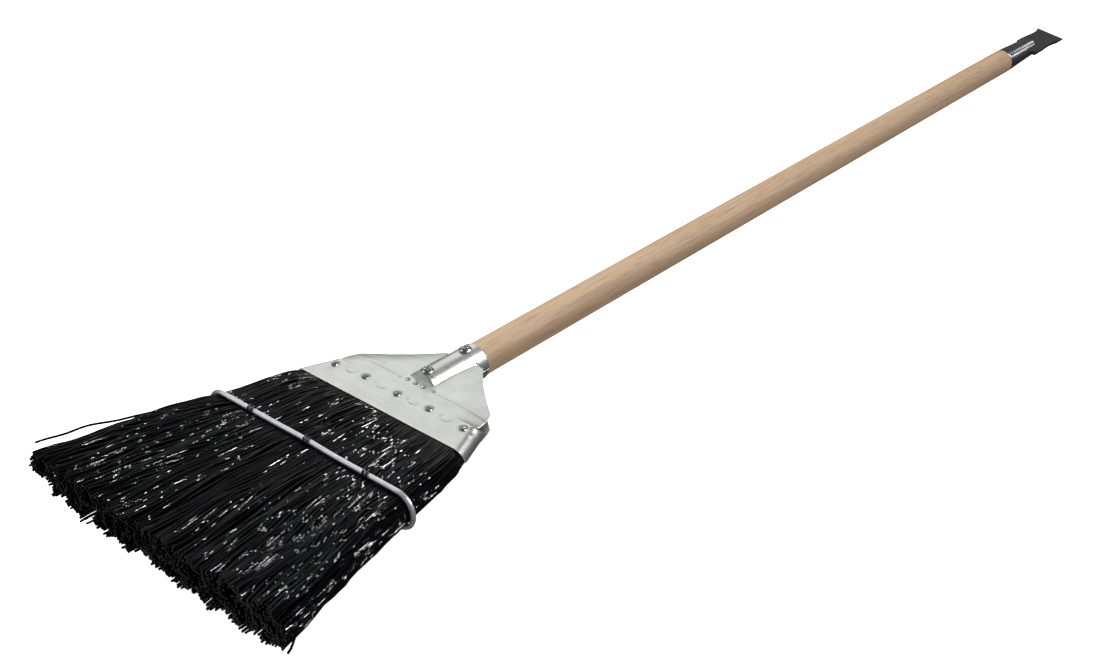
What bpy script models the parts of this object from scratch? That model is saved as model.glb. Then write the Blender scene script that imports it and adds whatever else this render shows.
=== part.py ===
"""A flat track broom: sheet steel cap, wire-banded bristles, wooden handle, scraper blade on its far end.

Sizes are in millimetres and become metres in mesh_object and curve_object. Local coordinates start where
the handle's axis crosses the plane of the cap's mouth: +X runs up the handle, +Y across the head, +Z out of
the front face. The empty "broom" carries that point to its place, with the broom lying on its back.
"""

import math

import bmesh
import bpy
from mathutils import Matrix, Vector

MM = 0.001
GAP = 0.3  # between neighbouring pieces

# Handle, ferrule and blade, along X from the mouth
HANDLE_RADIUS = 14.3
HANDLE_START = 52.0
HANDLE_END = 1054.7
FERRULE_END = 1130.0
FERRULE_END_RADIUS = 11.3
FERRULE_WALL = 1.2
BLADE_BASE = 1118.0
BLADE_NECK = 1168.0
BLADE_EDGE = 1197.0
BLADE_HALF_WIDTH = 16.2
BLADE_EDGE_HALF_WIDTH = 18.8
BLADE_THICKNESS = 5.0
BLADE_ROLL = math.radians(9.0)

# Cap: two pressed sheets
SHEET = 0.9
CAP_HALF_THICKNESS = 9.4
MOUTH_HALF_WIDTH = 90.0
SIDE_TAPER = 0.385  # half-width lost for each millimetre up the skirt
CREASE_X = 43.0
SIDE_SEAM_Z = -3.0
SHOULDER_CORNER = (52.0, 69.6)
SHOULDER_TOP = (98.0, 20.0)
SHOULDER_TWIST = 0.005  # how fast the shoulders sink away from the crease and the tunnel
TUNNEL_RADIUS = HANDLE_RADIUS + GAP + SHEET
TUNNEL_START = 49.0
TUNNEL_END = 110.0
SCREW_PLACES = {"lower": 56.0, "upper": 99.0}
SCREW_RADIUS = 2.1
SCREW_DEPTH = 20.0
NAIL_X = 22.9
NAIL_PITCH = 34.3
NAIL_RADIUS = 1.1
NAIL_HEAD_RADIUS = 3.3

PIN_X = 1075.0
PIN_RADIUS = 1.0
PIN_TOP = 4.0  # how far the ferrule's pin stays below the handle's axis

# Bristles and the wire band round them
TIP_X = -209.0
TIP_HALF_WIDTH = 137.0
TIP_HALF_THICKNESS = 16.0
HINGE_HALF_WIDTH = 106.5
HINGE_HALF_THICKNESS = 12.0
BAND_X = -69.3
BAND_HALF_WIDTH = 107.3
BAND_HALF_THICKNESS = 14.4
BAND_WIRE_RADIUS = 2.0
TIE_PITCH = 61.0
TIE_WIRE_RADIUS = 0.5
TIES = {"left": TIE_PITCH, "middle": 0.0, "right": -TIE_PITCH}
HINGE_X = -78.0
FLEX_RELIEF = math.radians(23.0)  # slope of the movable bristles' top, just over the joint's limit
BUNDLE_SHARES = (-1.0, -0.58, 0.0, 0.58, 1.0)  # where the bundles part, across the half-width

# The broom's place: mid-length over the origin, its lowest wire on the ground
MOUTH_PLACE_X = -(TIP_X + BLADE_EDGE) / 2
AXIS_HEIGHT = BAND_HALF_THICKNESS + BAND_WIRE_RADIUS + GAP + 2 * TIE_WIRE_RADIUS


def clear_scene():
    for old in list(bpy.data.objects):
        bpy.data.objects.remove(old, do_unlink=True)


def material(name, colour, roughness, metallic):
    made = bpy.data.materials.new(name)
    made.use_nodes = True
    shader = made.node_tree.nodes["Principled BSDF"]
    shader.inputs["Base Color"].default_value = (*colour, 1.0)
    shader.inputs["Roughness"].default_value = roughness
    shader.inputs["Metallic"].default_value = metallic
    return made


def empty(name, place, parent=None):
    made = bpy.data.objects.new(name, None)
    made.location = Vector(place) * MM
    made.parent = parent
    bpy.context.scene.collection.objects.link(made)
    return made


def place_object(name, data, look, parent, place=(0, 0, 0), turn=(0, 0, 0)):
    made = bpy.data.objects.new(name, data)
    data.materials.append(look)
    made.parent = parent
    made.location = Vector(place) * MM
    made.rotation_euler = turn
    bpy.context.scene.collection.objects.link(made)
    return made


def mesh_object(name, bm, look, parent, place=(0, 0, 0), turn=(0, 0, 0), sharp=35.0):
    """An object from a bmesh in millimetres, which this frees."""
    bmesh.ops.scale(bm, vec=(MM, MM, MM), verts=bm.verts)
    mesh = bpy.data.meshes.new(name)
    bm.to_mesh(mesh)
    bm.free()
    mesh.shade_smooth()
    mesh.set_sharp_from_angle(angle=math.radians(sharp))
    return place_object(name, mesh, look, parent, place, turn)


def curve_object(name, points, radius, look, parent, place=(0, 0, 0), closed=False):
    """A wire: a poly curve through the points, with a round section and filled ends."""
    curve = bpy.data.curves.new(name, "CURVE")
    curve.dimensions = "3D"
    spline = curve.splines.new("POLY")
    spline.points.add(len(points) - 1)
    for point, where in zip(spline.points, points):
        point.co = (*(Vector(where) * MM), 1.0)
    spline.use_cyclic_u = closed
    spline.use_smooth = True
    curve.bevel_depth = radius * MM
    curve.bevel_resolution = 2
    curve.use_fill_caps = True
    return place_object(name, curve, look, parent, place)


def turned_bmesh(profile, steps=32):
    """The solid of revolution round X of (x, radius) points that start and end on the axis."""
    bm = bmesh.new()
    verts = [bm.verts.new((x, 0, radius)) for x, radius in profile]
    edges = [bm.edges.new(pair) for pair in zip(verts, verts[1:])]
    bmesh.ops.spin(bm, geom=verts + edges, cent=(0, 0, 0), axis=(1, 0, 0), angle=math.tau, steps=steps)
    bmesh.ops.remove_doubles(bm, verts=bm.verts, dist=1e-4)
    bmesh.ops.dissolve_degenerate(bm, edges=bm.edges, dist=1e-5)
    bmesh.ops.recalc_face_normals(bm, faces=bm.faces)
    return bm


def turned_object(name, profile, look, parent, place=(0, 0, 0), turn=(0, 0, 0), steps=32):
    return mesh_object(name, turned_bmesh(profile, steps), look, parent, place, turn)


def prism_bmesh(sections):
    """A closed solid through rings of points, all rings with the same number of points."""
    bm = bmesh.new()
    rings = [[bm.verts.new(point) for point in ring] for ring in sections]
    for ring, following in zip(rings, rings[1:]):
        for i in range(len(ring)):
            j = (i + 1) % len(ring)
            bm.faces.new((ring[i], ring[j], following[j], following[i]))
    bm.faces.new(rings[0])
    bm.faces.new(rings[-1])
    bmesh.ops.recalc_face_normals(bm, faces=bm.faces)
    return bm


def box_bmesh(low, high):
    sections = [[(x, low[1], low[2]), (x, high[1], low[2]), (x, high[1], high[2]), (x, low[1], high[2])]
                for x in (low[0], high[0])]
    return prism_bmesh(sections)


def cylinder_bmesh(radius, bottom, top, sides=16):
    """An upright cylinder round Z."""
    rings = [[(radius * math.cos(math.tau * i / sides), radius * math.sin(math.tau * i / sides), z)
              for i in range(sides)] for z in (bottom, top)]
    return prism_bmesh(rings)


def joined_bmesh(parts):
    """One bmesh of several, each moved by its own (x, y, z)."""
    whole = bmesh.new()
    for part, offset in parts:
        bmesh.ops.translate(part, vec=Vector(offset), verts=part.verts)
        scratch = bpy.data.meshes.new("scratch")
        part.to_mesh(scratch)
        part.free()
        whole.from_mesh(scratch)
        bpy.data.meshes.remove(scratch)
    return whole


def helper_object(name, bm, look, parent, place=(0, 0, 0), turn=(0, 0, 0)):
    """A cutter, or a shape to add, that isn't a piece itself."""
    helper = mesh_object(name, bm, look, parent, place, turn)
    helper.hide_render = True
    helper.display_type = "WIRE"
    return helper


def combine(target, helper, operation="DIFFERENCE", crossing=False):
    """Cuts or adds the helper; crossing is for a helper whose own parts run through each other."""
    modifier = target.modifiers.new(helper.name, "BOOLEAN")
    modifier.operation = operation
    modifier.object = helper
    modifier.solver = "EXACT"
    modifier.use_self = crossing


def arc(centre, radius, start, end, count):
    """(y, z) points of an arc, angles in degrees."""
    return [(centre[0] + radius * math.cos(math.radians(start + (end - start) * i / count)),
             centre[1] + radius * math.sin(math.radians(start + (end - start) * i / count)))
            for i in range(count + 1)]


def skirt_half_width(x):
    return MOUTH_HALF_WIDTH - SIDE_TAPER * x


def shoulder_half_width(x):
    """Half-width of the shoulder plates: a short edge at the crease, then straight in to the tunnel."""
    corner_x, corner_y = SHOULDER_CORNER
    top_x, top_y = SHOULDER_TOP
    if x < corner_x:
        ear_x = CREASE_X + 2
        return corner_y + 3.5 * (corner_x - x) / (corner_x - ear_x)
    return corner_y + (top_y - corner_y) * (x - corner_x) / (top_x - corner_x)


def shoulder_height(x, y):
    return CAP_HALF_THICKNESS - SHOULDER_TWIST * max(0, x - CREASE_X) * max(0, abs(y) - 17)


def flat_edge(x):
    """How far out the flat part of the sheet reaches: to the side walls, or to the shoulders' edge."""
    if x <= CREASE_X:
        return skirt_half_width(x) - CAP_HALF_THICKNESS
    return min(skirt_half_width(CREASE_X) - CAP_HALF_THICKNESS, shoulder_half_width(x))


def ear_end():
    """Where the shoulders' edge comes in as far as the flat part of the skirt."""
    (corner_x, corner_y), (top_x, top_y) = SHOULDER_CORNER, SHOULDER_TOP
    return corner_x + (corner_y - flat_edge(CREASE_X)) * (top_x - corner_x) / (corner_y - top_y)


def sheet_row(x, seam_z):
    """Half of the sheet's cross-section at x: lists of (y, z), each going outwards from the middle."""
    foot = math.degrees(math.asin(CAP_HALF_THICKNESS / TUNNEL_RADIUS))
    bump = arc((0, 0), TUNNEL_RADIUS, 90, foot, 5)
    if x <= TUNNEL_START:
        bump = [(y, CAP_HALF_THICKNESS) for y, z in bump]
    row = {"bump": bump}
    inner = bump[-1][0]
    if x <= SHOULDER_TOP[0]:
        steps = [inner + (flat_edge(x) - inner) * i / 5 for i in range(6)]
        row["flat"] = [(y, shoulder_height(x, y)) for y in steps]
    if x <= CREASE_X:
        seam = math.degrees(math.asin(seam_z / CAP_HALF_THICKNESS))
        row["side"] = arc((flat_edge(x), 0), CAP_HALF_THICKNESS, 90, seam, 7)
    if CREASE_X <= x <= ear_end():
        reach = flat_edge(x) if x == CREASE_X else max(flat_edge(x), shoulder_half_width(x))
        row["ear"] = [(y, shoulder_height(x, y)) for y in (flat_edge(x), reach)]
    if x >= SHOULDER_TOP[0]:
        row["tube"] = arc((0, 0), TUNNEL_RADIUS, foot, 1.5, 4)
    return row


def cap_sheet_bmesh(seam_z):
    """One pressed sheet as a surface facing up: skirt and side walls, shoulders, and the handle's tunnel."""
    stations = [0, 14, 28, CREASE_X - 3, CREASE_X, CREASE_X + 2, TUNNEL_START, TUNNEL_START + 1.2,
                SHOULDER_CORNER[0], ear_end(), 67, 77, 88, SHOULDER_TOP[0], 104, TUNNEL_END]
    bm = bmesh.new()
    rows = [(x, sheet_row(x, seam_z)) for x in stations]
    for (x, row), (next_x, next_row) in zip(rows, rows[1:]):
        for zone in row.keys() & next_row.keys():
            for near, far in zip(zip(row[zone], row[zone][1:]), zip(next_row[zone], next_row[zone][1:])):
                corners = [(x, *near[0]), (x, *near[1]), (next_x, *far[1]), (next_x, *far[0])]
                for side in (1, -1):
                    face = [bm.verts.new((cx, side * cy, cz)) for cx, cy, cz in corners]
                    bm.faces.new(face if side < 0 else face[::-1])
    bmesh.ops.remove_doubles(bm, verts=bm.verts, dist=1e-3)
    bmesh.ops.dissolve_degenerate(bm, edges=bm.edges, dist=1e-3)
    return bm


def holes_bmesh():
    """The nail and screw holes of the cap, as one cutter through both sheets."""
    nails = [(cylinder_bmesh(NAIL_RADIUS + GAP, -30, 30, 12), (NAIL_X, y, 0)) for y in nail_places()]
    screws = [(cylinder_bmesh(SCREW_RADIUS + GAP, 0, 30, 12), (x, 0, 0)) for x in SCREW_PLACES.values()]
    return joined_bmesh(nails + screws)


def nail_places():
    return [NAIL_PITCH * i for i in (2, 1, 0, -1, -2)]


def solid_sheet(name, bm, look, broom, holes):
    made = mesh_object(name, bm, look, broom)
    thicken = made.modifiers.new("sheet thickness", "SOLIDIFY")
    thicken.thickness = SHEET * MM
    thicken.offset = -1
    thicken.use_even_offset = True
    combine(made, holes)
    return made


def build_cap(broom, look):
    holes = helper_object("cap_holes", holes_bmesh(), look, broom)
    solid_sheet("cap_front", cap_sheet_bmesh(SIDE_SEAM_Z + GAP / 2), look, broom, holes)
    back = cap_sheet_bmesh(-SIDE_SEAM_Z + GAP / 2)
    bmesh.ops.scale(back, vec=(1, 1, -1), verts=back.verts)
    bmesh.ops.reverse_faces(back, faces=back.faces)
    solid_sheet("cap_back", back, look, broom, holes)


def build_screws(broom, look):
    """Round-headed cross-recess screws through the front tunnel into the handle; local Z is up the shank."""
    head = 5.4
    under = TUNNEL_RADIUS + GAP
    tip = under - SCREW_DEPTH
    profile = [(tip, 0), (tip + 4, SCREW_RADIUS), (under, SCREW_RADIUS), (under, head),
               (under + 0.8, head), (under + 1.9, head * 0.72), (under + 2.5, head * 0.38), (under + 2.7, 0)]
    bars = [(box_bmesh((-2.7, -0.55, -1.3), (2.7, 0.55, 2)), (0, 0, under + 2.7)),
            (box_bmesh((-0.55, -2.7, -1.3), (0.55, 2.7, 2)), (0, 0, under + 2.7))]
    cross = joined_bmesh(bars)
    for label, x in SCREW_PLACES.items():
        turn = (0, 0, math.radians(20 if label == "lower" else 55))
        bm = turned_bmesh(profile, 20)
        bmesh.ops.rotate(bm, matrix=Matrix.Rotation(math.radians(-90), 3, "Y"), verts=bm.verts)
        screw = mesh_object("cap_screw_" + label, bm, look, broom, (x, 0, 0), turn)
        recess = helper_object("recess_" + label, cross.copy(), look, broom, (x, 0, 0), turn)
        combine(screw, recess, crossing=True)
    cross.free()


def build_nails(broom, look):
    """Dome-headed nails through cap and bristles, each tail bent over flat against the back sheet."""
    top = CAP_HALF_THICKNESS + GAP
    bend = -top - NAIL_RADIUS
    profile = [(bend, 0), (bend, NAIL_RADIUS), (top, NAIL_RADIUS), (top, NAIL_HEAD_RADIUS),
               (top + 0.5, NAIL_HEAD_RADIUS), (top + 1.2, NAIL_HEAD_RADIUS * 0.6), (top + 1.4, 0)]
    for number, y in enumerate(nail_places(), 1):
        bm = turned_bmesh(profile, 12)
        bmesh.ops.rotate(bm, matrix=Matrix.Rotation(math.radians(-90), 3, "Y"), verts=bm.verts)
        nail = mesh_object("cap_nail_%d" % number, bm, look, broom, (NAIL_X, y, 0))
        tail = cylinder_bmesh(NAIL_RADIUS * 0.98, -0.4, 6.5, 12)
        turn = (0, math.radians(90), math.radians(15 * (-1) ** number))
        helper = helper_object("nail_tail_%d" % number, tail, look, broom, (NAIL_X, y, bend), turn)
        combine(nail, helper, "UNION")


def ferrule_radius(x):
    share = (x - HANDLE_END) / (FERRULE_END - HANDLE_END)
    return HANDLE_RADIUS + (FERRULE_END_RADIUS - HANDLE_RADIUS) * share


def build_handle(broom, look):
    tenon_end = BLADE_BASE - 5
    inside = FERRULE_WALL + GAP
    profile = [(HANDLE_START, 0), (HANDLE_START, HANDLE_RADIUS - 1.5), (HANDLE_START + 1.5, HANDLE_RADIUS),
               (HANDLE_END - GAP, HANDLE_RADIUS), (HANDLE_END - GAP, ferrule_radius(HANDLE_END) - inside),
               (tenon_end, ferrule_radius(tenon_end) - inside), (tenon_end, 0)]
    handle = turned_object("handle", profile, look, broom)
    bores = [(cylinder_bmesh(SCREW_RADIUS + GAP, TUNNEL_RADIUS - SCREW_DEPTH - 0.5, 20, 12), (x, 0, 0))
             for x in SCREW_PLACES.values()]
    bores.append((cylinder_bmesh(PIN_RADIUS + GAP, -20, PIN_TOP + GAP, 12), (PIN_X, 0, 0)))
    combine(handle, helper_object("handle_bores", joined_bmesh(bores), look, broom))


def build_ferrule(broom, steel, pin_steel):
    end = FERRULE_END
    profile = [(HANDLE_END, 0), (HANDLE_END, HANDLE_RADIUS), (end - 1.5, ferrule_radius(end - 1.5)),
               (end, FERRULE_END_RADIUS - 1.5), (end, 0)]
    hollow = [(HANDLE_END - 5, 0), (HANDLE_END - 5, HANDLE_RADIUS - FERRULE_WALL),
              (HANDLE_END, HANDLE_RADIUS - FERRULE_WALL),
              (end - FERRULE_WALL, ferrule_radius(end) - FERRULE_WALL), (end - FERRULE_WALL, 0)]
    ferrule = turned_object("chisel_ferrule", profile, steel, broom)
    combine(ferrule, helper_object("ferrule_hollow", turned_bmesh(hollow), steel, broom))
    half_slot = BLADE_THICKNESS / 2 + GAP
    slot = box_bmesh((BLADE_BASE - GAP, -20, -half_slot), (end + 5, 20, half_slot))
    combine(ferrule, helper_object("ferrule_slot", slot, steel, broom, turn=(BLADE_ROLL, 0, 0)))
    pin_hole = cylinder_bmesh(PIN_RADIUS + GAP, -20, 0, 12)
    combine(ferrule, helper_object("ferrule_pin_hole", pin_hole, steel, broom, (PIN_X, 0, 0)))
    under = ferrule_radius(PIN_X) + GAP
    pin = [(-PIN_TOP, 0), (-PIN_TOP + 1.5, PIN_RADIUS), (under, PIN_RADIUS), (under, 2.2),
           (under + 0.4, 2.2), (under + 0.8, 1.2), (under + 0.9, 0)]
    turn = (0, math.radians(90), 0)
    turned_object("ferrule_pin", pin, pin_steel, broom, (PIN_X, 0, 0), turn, 12)


def build_blade(broom, look):
    """A flat plate that stands in the ferrule's slot, flares at its neck and thins to a scraping edge."""
    half = BLADE_THICKNESS / 2
    bevel_start = BLADE_EDGE - 14
    outline = [(BLADE_BASE, BLADE_HALF_WIDTH, half), (BLADE_BASE + 22, BLADE_HALF_WIDTH - 0.4, half),
               (BLADE_NECK, 14.6, half), (bevel_start, 15.6, half), (BLADE_EDGE, BLADE_EDGE_HALF_WIDTH, 0.4)]
    sections = [[(x, -width, half - 2 * thick), (x, width, half - 2 * thick), (x, width, half), (x, -width, half)]
                for x, width, thick in outline]
    bm = prism_bmesh(sections)
    blade = mesh_object("chisel_blade", bm, look, broom, turn=(BLADE_ROLL, 0, 0), sharp=20)
    bevel = blade.modifiers.new("worn corners", "BEVEL")
    bevel.width = 0.25 * MM
    bevel.segments = 2


def stadium_points(half_width, half_height, per_corner=8):
    """(y, z) points round an oval with straight long sides and half-round ends."""
    centre = half_width - half_height
    right = arc((centre, 0), half_height, -90, 90, 2 * per_corner)
    left = arc((-centre, 0), half_height, 90, 270, 2 * per_corner)
    return right + left


def build_band(broom, wire, tie_wire):
    """The wire band round the bristles, and the three ties sewn through them round its two long sides."""
    points = [(BAND_X, y, z) for y, z in stadium_points(BAND_HALF_WIDTH, BAND_HALF_THICKNESS, 6)]
    curve_object("wire_band", points, BAND_WIRE_RADIUS, wire, broom, closed=True)
    wide = BAND_WIRE_RADIUS + GAP + TIE_WIRE_RADIUS
    loop = stadium_points(BAND_HALF_THICKNESS + wide, wide, 3)
    turns = 2
    pitch = 1.5
    count = turns * len(loop)
    path = [(loop[i % len(loop)][1], pitch * (turns * i / count - turns / 2), loop[i % len(loop)][0])
            for i in range(count + 4)]
    path.insert(0, (-wide - 2.2, path[0][1] - 0.6, path[0][2] + 2.4))
    path.append((wide + 2.2, path[-1][1] + 0.6, path[-1][2] + 2.4))
    for label, y in TIES.items():
        curve_object("band_tie_" + label, path, TIE_WIRE_RADIUS, tie_wire, broom, (BAND_X, y, 0))


def bundle_section(x, half_width, half_height, low, high):
    """One bundle's outline at x, between two shares of the half-width; the outermost sides are round."""
    inner = 0.2
    y_low = low * half_width + inner
    y_high = high * half_width - inner
    if high == 1:
        right = arc((half_width - half_height, 0), half_height, -90, 90, 6)
    else:
        right = [(y_high, -half_height), (y_high, half_height)]
    if low == -1:
        left = arc((half_height - half_width, 0), half_height, 90, 270, 6)
    else:
        left = [(y_low, half_height), (y_low, -half_height)]
    return [(x, y, z) for y, z in right + left]


def bundle_bmesh(stations, low=-1, high=1):
    return prism_bmesh([bundle_section(*station, low, high) for station in stations])


def build_bristles(broom, hinge, look):
    """Solids with the bristles' outer shape: the root in the cap, and the bundles above and below the hinge."""
    root_height = CAP_HALF_THICKNESS - SHEET - GAP
    root_ends = [(x, skirt_half_width(x) - SHEET - GAP, root_height) for x in (GAP / 2, CREASE_X - 1)]
    root = mesh_object("bristle_root", bundle_bmesh(root_ends), look, broom)
    combine(root, bpy.data.objects["cap_holes"])
    at_mouth = (-GAP / 2, MOUTH_HALF_WIDTH - SHEET - GAP, root_height)
    at_hinge = (HINGE_X + GAP / 2, HINGE_HALF_WIDTH, HINGE_HALF_THICKNESS)
    reach = BAND_WIRE_RADIUS + 2 * GAP + 2 * TIE_WIRE_RADIUS
    slots = [(box_bmesh((-reach, -3.2, -30), (reach, 3.2, 30)), (BAND_X, y, 0)) for y in TIES.values()]
    slots = helper_object("tie_slots", joined_bmesh(slots), look, broom)
    ridge = (-GAP, HINGE_HALF_WIDTH, GAP)
    full = (-GAP - HINGE_HALF_THICKNESS * math.tan(FLEX_RELIEF), HINGE_HALF_WIDTH, HINGE_HALF_THICKNESS)
    tip = (TIP_X - HINGE_X, TIP_HALF_WIDTH, TIP_HALF_THICKNESS)
    for number, (low, high) in enumerate(zip(BUNDLE_SHARES, BUNDLE_SHARES[1:]), 1):
        upper = bundle_bmesh([at_mouth, at_hinge], low, high)
        combine(mesh_object("bristles_upper_%d" % number, upper, look, broom), slots)
        lower = bundle_bmesh([ridge, full, tip], low, high)
        mesh_object("bristles_lower_%d" % number, lower, look, hinge)


def main():
    clear_scene()
    wood = material("wood", (0.61, 0.40, 0.23), 0.6, 0.0)
    galvanised = material("galvanised", (0.60, 0.62, 0.58), 0.38, 0.9)
    bright_steel = material("bright_steel", (0.62, 0.62, 0.60), 0.22, 1.0)
    wire = material("band_wire", (0.55, 0.56, 0.57), 0.25, 1.0)
    dark_wire = material("dark_wire", (0.08, 0.08, 0.085), 0.35, 1.0)
    bristle = material("bristle", (0.008, 0.008, 0.01), 0.3, 0.0)
    ferrule_steel = material("ferrule_steel", (0.16, 0.17, 0.19), 0.25, 1.0)
    blade_steel = material("blade_steel", (0.045, 0.043, 0.046), 0.55, 0.4)
    broom = empty("broom", (MOUTH_PLACE_X, 0, AXIS_HEIGHT))
    hinge = empty("bristle_hinge", (HINGE_X, 0, 0), broom)
    build_cap(broom, galvanised)
    build_screws(broom, bright_steel)
    build_nails(broom, bright_steel)
    build_handle(broom, wood)
    build_ferrule(broom, ferrule_steel, bright_steel)
    build_blade(broom, blade_steel)
    build_band(broom, wire, dark_wire)
    build_bristles(broom, hinge, bristle)


main()
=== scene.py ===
"""Looks of the track broom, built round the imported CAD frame.

Shapes are modelled in millimetres in the broom's own coordinates, which start where the handle's axis crosses
the plane of the cap's mouth: +X up the handle, +Y across the head, +Z out of the front face. to_row turns
them into metres in the row frame, with that start read from the frame's own boxes.
"""

import math

import bmesh
import bpy
import numpy as np
from mathutils import Matrix, Vector


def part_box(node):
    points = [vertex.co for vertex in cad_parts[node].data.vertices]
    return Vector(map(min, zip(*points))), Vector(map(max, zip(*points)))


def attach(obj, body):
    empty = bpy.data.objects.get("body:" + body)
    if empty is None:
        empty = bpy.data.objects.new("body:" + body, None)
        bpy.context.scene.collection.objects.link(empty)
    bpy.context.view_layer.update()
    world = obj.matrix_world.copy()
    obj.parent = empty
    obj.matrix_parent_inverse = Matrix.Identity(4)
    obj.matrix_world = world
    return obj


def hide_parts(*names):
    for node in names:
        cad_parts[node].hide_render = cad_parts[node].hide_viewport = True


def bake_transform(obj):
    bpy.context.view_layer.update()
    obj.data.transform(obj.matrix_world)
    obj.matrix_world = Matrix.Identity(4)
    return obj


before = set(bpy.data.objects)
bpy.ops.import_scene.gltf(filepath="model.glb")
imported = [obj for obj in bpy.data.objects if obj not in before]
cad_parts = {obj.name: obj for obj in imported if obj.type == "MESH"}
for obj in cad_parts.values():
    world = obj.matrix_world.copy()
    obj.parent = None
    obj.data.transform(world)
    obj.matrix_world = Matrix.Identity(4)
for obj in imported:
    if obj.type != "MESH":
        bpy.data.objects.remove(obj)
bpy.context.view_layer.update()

MM = 0.001
SEED = 20

# Places read from the frame
CAP_LOW, CAP_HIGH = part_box("cap_front")
HANDLE_LOW, HANDLE_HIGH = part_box("handle")
BAND_LOW, BAND_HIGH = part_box("wire_band")
FERRULE_LOW, FERRULE_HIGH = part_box("chisel_ferrule")
BLADE_LOW, BLADE_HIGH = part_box("chisel_blade")
ORIGIN = Vector((CAP_LOW.x, 0, (HANDLE_LOW.z + HANDLE_HIGH.z) / 2))


def local_x(x):
    """Millimetres up the handle from the cap's mouth, of a place in the row frame."""
    return (x - ORIGIN.x) / MM


def local_z(z):
    return (z - ORIGIN.z) / MM


# Handle, ferrule and blade
HANDLE_RADIUS = (HANDLE_HIGH.z - HANDLE_LOW.z) / 2 / MM
HANDLE_START = local_x(HANDLE_LOW.x)
FERRULE_START = local_x(FERRULE_LOW.x)
FERRULE_END = local_x(FERRULE_HIGH.x)
FERRULE_END_RADIUS = 11.3
BLADE_BASE = local_x(BLADE_LOW.x)
BLADE_EDGE = local_x(BLADE_HIGH.x)
# Half-widths of the blade from its shoulders to its edge; its edge flares earlier on the right
BLADE_X = (BLADE_BASE, BLADE_BASE + 2, BLADE_BASE + 8, BLADE_BASE + 11, BLADE_BASE + 22,
           BLADE_EDGE - 38, BLADE_EDGE - 28, BLADE_EDGE - 17, BLADE_EDGE - 8, BLADE_EDGE)
BLADE_LEFT = (12.4, 12.6, 13.2, 15.6, 15.8, 14.7, 14.0, 13.7, 16.1, 18.6)
BLADE_RIGHT = (15.6, 15.9, 15.9, 15.8, 15.7, 14.8, 15.2, 16.8, 17.6, 18.4)
BLADE_THICKNESS = 5.0
BLADE_BEVEL = 15.0
TENON_STEP = 1.5
FERRULE_WALL = 1.25
BLADE_ROLL = math.radians(9.0)

# Cap
SHEET = 0.9
# RIM: width of the strip along the mouth that takes the pale cut-edge colour, a painted highlight
RIM = 0.7
FLAT_STEPS = 80
FACE = 9.4
MOUTH_HALF_WIDTH = CAP_HIGH.y / MM
SIDE_TAPER = 0.385
CREASE_X = 43.0
NOTCH_X = 30.0
# Half-width of the free edge of the ears, from the end of the side wall to the shoulder
EAR_X = (NOTCH_X, 31.5, 33.5, 36, 43, 48, 52)
EAR_HALF_WIDTH = (69.2, 71.4, 73.2, 74.0, 72.6, 70.8, 68.8)
BUMP_START = 48.0
BUMP_RISE = (49.2, 51.2)
TUNNEL_END = local_x(CAP_HIGH.x)
TUNNEL_RADIUS = local_z(CAP_HIGH.z)
SHOULDER_CORNER = (52.0, 69.6)
SHOULDER_TOP = (98.0, 20.0)
EAR_DROP = 2.4
SHOULDER_DROPS = (4.0, 2.2)
SEAM_Z = -3.0
NAIL_X = 22.9
NAIL_PITCH = 34.3
# Each nail was driven a little off its even place: (x, y) offsets, from the left
NAIL_OFFSETS = ((-0.8, -0.4), (2.1, 2.6), (1.0, 1.2), (2.3, 3.0), (0.4, 0.2))
NAIL_PLACES = [(NAIL_X + dx, NAIL_PITCH * (2 - i) + dy) for i, (dx, dy) in enumerate(NAIL_OFFSETS)]
SCREW_X = (56.0, 99.0)
PUNCH_MARKS = ((42.2, 16.8, 0.25), (44.4, 10.0, 0.8), (44.6, 1.3, 0.9), (44.5, -7.2, 0.9))
PUNCH_RADIUS = 0.95

# Band and ties
BAND_X = local_x((BAND_LOW.x + BAND_HIGH.x) / 2)
BAND_WIRE = (BAND_HIGH.x - BAND_LOW.x) / 2 / MM
BAND_HALF_WIDTH = BAND_HIGH.y / MM - BAND_WIRE
BAND_HALF_THICKNESS = local_z(BAND_HIGH.z) - BAND_WIRE
TIE_WIRE = 0.88
TIE_PITCH = 61.0

# Bristles
BRISTLE_RADIUS = 0.92
BRISTLE_PITCH = 2.12
# Each strand has its own zigzag, of a wavelength and a height between these
CRIMP_WAVES = (36, 68)
CRIMP_HEIGHTS = (0.3, 1.0)
TIP_X = -209.0
ROOT_X = 30.0
# Outline of the bundle along X: half-width to the left and right, and half-thickness
OUTLINE_X = (-209, -190, -155, -133, -100, -80, -72, -68.5, -61, -30, -8, 0, 30)
OUTLINE_LEFT = (139.5, 137, 131.5, 126.5, 118, 111, 106.5, 104.8, 102.5, 97.5, 92.5, 88.2, 76)
OUTLINE_RIGHT = (135.5, 131.5, 124, 116.5, 109.5, 106.5, 105.2, 104.6, 102.0, 97, 92, 88.2, 76)
OUTLINE_THICK = (14.8, 14.5, 14.0, 13.7, 13.4, 13.0, 12.4, 12.2, 12.2, 11.2, 9.6, 8.2, 8.0)
# Where the four bundles meet, as shares of the half-width
BUNDLE_SHARES = (-0.58, 0.0, 0.58)
# Strays, as (tip x, tip y, tip z, where it leaves the bundle): one long, the others short
STRAYS = ((-198, 143.6, 11.0, -112), (-203, 142.4, 5.0, -160), (-207, 141.6, -3.0, -166),
          (-201, 141.2, -9.0, -170), (-208, -134.8, -12.5, -184), (-211, 30.0, -15.6, -165),
          (-211, -60.0, -15.6, -165))
# Strands this near the outside, as a share of the depth, get finer meshes
OUTER_SHARE = 0.24

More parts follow.
